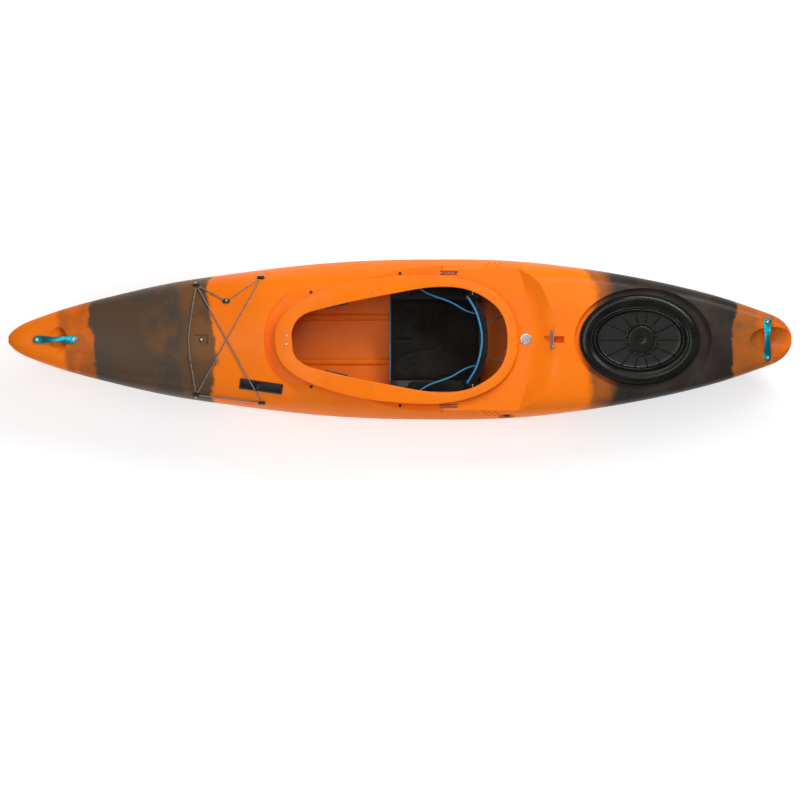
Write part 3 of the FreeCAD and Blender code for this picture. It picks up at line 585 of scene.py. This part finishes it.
DISH_REACH = 0.166


def oval_share(radius):
    """How far the cover is flattened across the boat at one radius, in mm."""
    blend = min(max((radius - 186) / 20, 0), 1)
    return RIDGE_FLAT + (OUTER_FLAT - RIDGE_FLAT) * blend * blend * (3 - 2 * blend)


def lathed(name, profile, sides):
    """A turned piece about the Z axis: a disc drawn up and out, ring by ring."""
    only(None)
    radius, height = profile[0]
    bpy.ops.mesh.primitive_circle_add(vertices=sides, radius=radius * 0.001, fill_type="NGON",
                                      location=(0, 0, height * 0.001))
    obj = bpy.context.object
    obj.name = name
    bpy.ops.object.transform_apply(location=True, rotation=True, scale=True)
    edit(obj)
    for (r0, z0), (r1, z1) in zip(profile, profile[1:]):
        bpy.ops.mesh.extrude_region_move(TRANSFORM_OT_translate={"value": (0, 0, (z1 - z0) * 0.001)})
        bpy.ops.transform.resize(value=(r1 / r0, r1 / r0, 1), center_override=(0, 0, z1 * 0.001))
    bpy.ops.mesh.select_all(action="SELECT")
    bpy.ops.mesh.fill_holes(sides=0)
    bpy.ops.mesh.select_all(action="SELECT")
    bpy.ops.mesh.normals_make_consistent(inside=False)
    done()
    return obj


def dish_edge(angle):
    """How far the dish runs from the hub's centre in one direction."""
    reach = RIB["start"]
    while math.hypot((reach * math.cos(angle) + HUB_AT - HATCH_AT) / DISH_REACH,
                     reach * math.sin(angle) / (DISH_REACH * RIDGE_FLAT)) < 1:
        reach += 0.001
    return reach


def bar_from(name, turn, start, end, width, low, high):
    """A small rounded bar pointing outwards from the hub's centre, between two radii."""
    only(None)
    bpy.ops.mesh.primitive_cube_add(size=1, location=((start + end) / 2, 0, (low + high) / 2))
    bar = bpy.context.object
    bar.name = name
    bar.scale = (end - start, width, high - low)
    bpy.ops.object.transform_apply(location=True, rotation=True, scale=True)
    bevel = bar.modifiers.new("edges", "BEVEL")
    bevel.width = min(width, high - low) * 0.35
    bevel.segments = 3
    apply_all(bar)
    bar.rotation_euler.z = turn
    bar.location.x = HUB_AT
    bpy.ops.object.transform_apply(location=True, rotation=True, scale=True)
    return bar


def joined(name, pieces):
    only(pieces[0])
    for piece in pieces[1:]:
        piece.select_set(True)
    bpy.ops.object.join()
    pieces[0].name = name
    return pieces[0]


def add_hatch_cover():
    """The cover's ring and ridge, its ribbed dish, and a hub in a notched collar."""
    cover = lathed("hatch_cover_ring", COVER_PROFILE, 144)
    for vertex in cover.data.vertices:
        radius = math.hypot(vertex.co.x, vertex.co.y) * 1000
        vertex.co.y *= oval_share(radius)
        vertex.co.x += HATCH_AT
    hub = lathed("hatch_hub", HUB_PROFILE, 96)
    for vertex in hub.data.vertices:
        vertex.co.x += HUB_AT
    pieces = [cover, hub]
    for k in range(RIB_COUNT):
        turn = 2 * math.pi * k / RIB_COUNT
        pieces.append(bar_from("rib", turn, end=dish_edge(turn), **RIB))
        pieces.append(bar_from("tooth", turn + math.pi / RIB_COUNT, **TOOTH))
    cover = joined("hatch_cover_moulded", pieces)
    smooth(cover, 35)
    install(cover, "hatch_cover")


# ---------------------------------------------------------------- soft goods
PRESSURE = 4.0
SWELL_FRAMES = 20


def plumped(node, name, voxel, cap, shrink=0.0015):
    """A pad blown up like a cushion from a slightly smaller copy, no point moving more than cap."""
    obj = copy_of(node, name)
    edit(obj)
    bpy.ops.mesh.normals_make_consistent(inside=False)
    bpy.ops.transform.shrink_fatten(value=-shrink)
    done()
    remesh = obj.modifiers.new("grid", "REMESH")
    remesh.mode = "VOXEL"
    remesh.voxel_size = voxel
    apply_all(obj)
    rest, _ = places_of(obj)
    cloth = obj.modifiers.new("cloth", "CLOTH")
    cloth.settings.use_pressure = True
    cloth.settings.uniform_pressure_force = PRESSURE
    cloth.settings.effector_weights.gravity = 0
    cloth.point_cache.frame_start = 1
    cloth.point_cache.frame_end = SWELL_FRAMES
    for number in range(1, SWELL_FRAMES + 1):
        scene.frame_set(number)
    apply_all(obj)
    moves = places_of(obj)[0] - rest
    lengths = np.maximum(np.linalg.norm(moves, axis=1), 1e-9)
    put_places(obj, rest + moves * np.minimum(1, cap / lengths)[:, None])
    scene.frame_set(1)
    soften = obj.modifiers.new("soften", "SMOOTH")
    soften.factor = 0.5
    soften.iterations = 4
    finer = obj.modifiers.new("finer", "SUBSURF")
    finer.levels = finer.render_levels = 1
    apply_all(obj)
    return obj


def places_of(obj):
    """The places and the outward directions of a mesh's points, as two tables of three columns."""
    places = np.empty(len(obj.data.vertices) * 3)
    normals = np.empty(len(obj.data.vertices) * 3)
    obj.data.vertices.foreach_get("co", places)
    obj.data.vertex_normals.foreach_get("vector", normals)
    return places.reshape(-1, 3), normals.reshape(-1, 3)


def put_places(obj, places):
    obj.data.vertices.foreach_set("co", places.ravel())
    obj.data.update()


def sewn(obj, lines, depth, width, flat, facing):
    """Presses creases into the side of a pad that faces one way; flat names the axes of the lines."""
    places, normals = places_of(obj)
    turned = np.clip(normals @ np.array(facing), 0, 1)
    spots = places[:, flat]
    near = np.full(len(places), 10.0)
    for line in lines:
        for a, b in zip(np.array(line), np.array(line)[1:]):
            share = np.clip((spots - a) @ (b - a) / ((b - a) @ (b - a)), 0, 1)
            near = np.minimum(near, np.linalg.norm(spots - a - share[:, None] * (b - a), axis=1))
    dent = depth * turned * np.exp(-(near / width) ** 2)
    put_places(obj, places - dent[:, None] * np.array(facing))


SEAT_CREASES = [
    [(0.006, 0.088), (0.030, 0.070), (0.062, 0.048), (0.096, 0.030), (0.128, 0.019)],
    [(0.008, -0.070), (0.040, -0.056), (0.080, -0.046), (0.128, -0.041)],
    [(0.016, -0.128), (0.034, -0.112), (0.060, -0.100)],
    [(0.012, 0.132), (0.044, 0.120), (0.080, 0.112)],
    [(0.150, 0.150), (0.230, 0.142), (0.300, 0.150)],
    [(0.150, -0.150), (0.230, -0.142), (0.300, -0.150)],
]
SEAT_SLOT = [[(-0.020, 0.0), (0.036, 0.0)]]


def add_seat():
    """Cushioned seat with its front slot and creases, and a hip pad on each side."""
    pad = plumped("seat_pad", "seat_cushion", 0.005, 0.006)
    places, normals = places_of(pad)
    x, y = places[:, 0], places[:, 1]
    pommel = 0.007 * np.exp(-((x - 0.02) / 0.07) ** 2 - (y / 0.045) ** 2)
    hollow = 0.005 * np.exp(-((x - 0.20) / 0.09) ** 2 - ((np.abs(y) - 0.075) / 0.05) ** 2)
    places[:, 2] += (pommel - hollow) * np.clip(normals[:, 2], 0, 1)
    put_places(pad, places)
    sewn(pad, SEAT_CREASES, 0.0065, 0.0050, [0, 1], (0, 0, 1))
    sewn(pad, SEAT_SLOT, 0.014, 0.0055, [0, 1], (0, 0, 1))
    smooth(pad, 70)
    install(pad, "seat_pad")
    low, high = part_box("seat_pad")
    edge = [(low[0] - 0.001, y * 0.001, 0.1045 - 0.003 * (y / 165) ** 2) for y in range(-160, 161, 40)]
    cord_of("seat_front_binding", [edge], 0.0021, slot="blue_cord", body="boat")
    for side, label in ((1, "starboard"), (-1, "port")):
        node = f"hip_pad_{label}"
        pad = plumped(node, f"hip_cushion_{label}", 0.004, 0.004)
        seam = [[(0.050, 0.104), (0.230, 0.104), (0.230, 0.194), (0.050, 0.194), (0.050, 0.104)]]
        sewn(pad, seam, 0.0025, 0.003, [0, 2], (0, -side, 0))
        smooth(pad, 70)
        install(pad, node)


def add_backband():
    """Padded backband with a sewn border and three upright channels on its face."""
    band = plumped("backband", "backband_cushion", 0.005, 0.005)
    border = [(-0.158, 0.142), (0.158, 0.142), (0.158, 0.256), (0.105, 0.284), (0, 0.296), (-0.105, 0.284),
              (-0.158, 0.256), (-0.158, 0.142)]
    channels = [[(y, 0.150), (y, 0.280)] for y in (-0.07, 0.0, 0.07)]
    sewn(band, [border] + channels, 0.0035, 0.0035, [1, 2], (-1, 0, 0))
    sewn(band, [border], 0.0025, 0.0035, [1, 2], (1, 0, 0))
    smooth(band, 70)
    install(band, "backband")


BADGE_PROFILE = [
    (21, 0), (22, 0.2), (22, 1.7), (21.5, 2.2), (20.8, 2.4), (18.6, 2.4), (18.2, 2.1), (17.4, 2.1), (17, 2.35),
    (9, 2.4), (8.6, 2.15), (7.8, 2.15), (7.4, 2.4), (1, 2.4)]


def add_badge():
    """A plain round metal badge with two turned rings."""
    low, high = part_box("badge")
    badge = lathed("badge_turned", BADGE_PROFILE, 72)
    for vertex in badge.data.vertices:
        vertex.co += Vector(((low[0] + high[0]) / 2, (low[1] + high[1]) / 2, low[2]))
    smooth(badge, 30)
    install(badge, "badge")


# ---------------------------------------------------------------- everything together
EDGE_ROUNDS = {
    "bow_handle": 0.0013, "stern_handle": 0.0013, "handle_bolts": 0.0004, "rim_front_bolts": 0.0003,
    "thigh_brace_bolts": 0.0003, "trough_screws": 0.0004, "foot_rail_bolts": 0.0003,
    "security_bar": 0.0008, "security_bar_bolts": 0.0003, "drain_plug": 0.0005, "drain_fitting": 0.0005,
    "seat_pan": 0.0014, "skeg_blade": 0.0022, "skeg_case": 0.0010, "skeg_slider_box": 0.0012,
    "skeg_slider_knob": 0.0014, "thigh_brace_starboard": 0.0014, "thigh_brace_port": 0.0014,
    "foot_plate": 0.0020, "foot_rails": 0.0008, "deck_line_fittings": 0.0010, "deck_line_bolts": 0.0003,
    "centre_line_fitting": 0.0008, "hatch_rim": 0.0008, "bow_pillar": 0.0030, "rear_bulkhead": 0.0020,
}

add_camera()
MATERIALS = mix_materials()
add_cords()
add_studio()
for half in ("hull_shell", "deck_shell"):
    moulded_half(half)
add_hatch_cover()
add_seat()
add_backband()
add_badge()
for node, width in EDGE_ROUNDS.items():
    soft_edged(node, width)
for node, obj in frame["nodes"].items():
    if node not in finished:
        obj.data.materials.clear()
        obj.data.materials.append(MATERIALS[SLOT_OF[node]])
